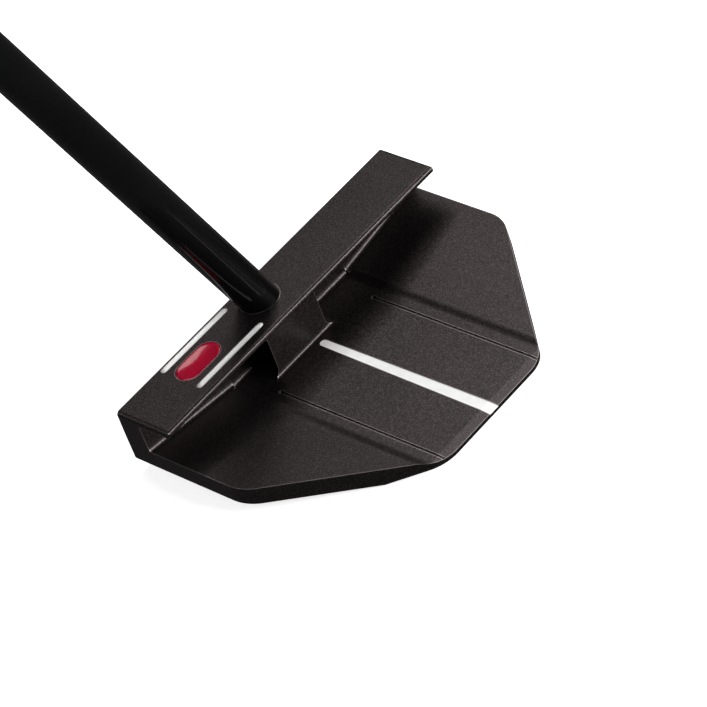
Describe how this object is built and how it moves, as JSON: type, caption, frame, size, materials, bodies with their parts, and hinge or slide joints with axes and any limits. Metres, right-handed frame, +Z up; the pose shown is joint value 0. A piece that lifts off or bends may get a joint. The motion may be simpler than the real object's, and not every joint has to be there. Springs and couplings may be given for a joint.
{
  "type": "mallet putter",
  "caption": "Right-handed mallet golf putter: machined black head with a thin top bar and stepped flange, leaning steel shaft, rubber grip and screw-in sole weights.",
  "frame": {"origin": "ground point on the head's centreline, in the upright plane that holds the shaft's axis", "axes": "+Z up, +Y the way the face points, +X from heel to toe; the shaft leans towards -X"},
  "size_m": [0.3634, 0.0757, 0.8246],
  "materials": {
    "head_metal": "bead-blasted, black coated",
    "white_paint": "satin paint fill",
    "red_enamel": "glossy enamel",
    "weight_metal": "turned",
    "pad_rubber": "matt",
    "screw_metal": "black oxide",
    "shaft_metal": "gloss black",
    "bond": "cured epoxy",
    "plug_cork": "cork",
    "tape": "paper tape",
    "grip_rubber": "fine pebbled"
  },
  "bodies": {
    "club": {"head_body": "head_metal", "bar_front_stripe": "white_paint", "bar_rear_stripe": "white_paint", "aim_dot": "red_enamel", "deck_sight_line": "white_paint", "shaft": "shaft_metal", "shaft_bond": "bond", "shaft_tip_plug": "plug_cork", "grip_tape": "tape", "grip": "grip_rubber", "grip_end_cap": "grip_rubber"},
    "heel_weight": {"heel_weight": "weight_metal", "heel_weight_pad": "pad_rubber"},
    "toe_weight": {"toe_weight": "weight_metal", "toe_weight_pad": "pad_rubber"},
    "heel_screw": {"heel_weight_screw": "screw_metal"},
    "toe_screw": {"toe_weight_screw": "screw_metal"}
  },
  "joints": [
    {"name": "heel_weight_lift", "type": "slide", "parent": "club", "child": "heel_weight", "axis": [-0.1392, 0, -0.9903], "range_m": [0, 0.0035]},
    {"name": "toe_weight_lift", "type": "slide", "parent": "club", "child": "toe_weight", "axis": [0.1392, 0, -0.9903], "range_m": [0, 0.0035]},
    {"name": "heel_screw_turn", "type": "hinge", "parent": "heel_weight", "child": "heel_screw", "pos_m": [-0.033, -0.009, 0.00126], "axis": [-0.1392, 0, -0.9903], "range_deg": [0, 2530]},
    {"name": "toe_screw_turn", "type": "hinge", "parent": "toe_weight", "child": "toe_screw", "pos_m": [0.033, -0.009, 0.00126], "axis": [0.1392, 0, -0.9903], "range_deg": [0, 2530]}
  ],
  "couplings": [
    {"joint": "heel_screw_turn", "follows": "heel_weight_lift", "rad_per_m": 12566},
    {"joint": "toe_screw_turn", "follows": "toe_weight_lift", "rad_per_m": 12566}
  ]
}
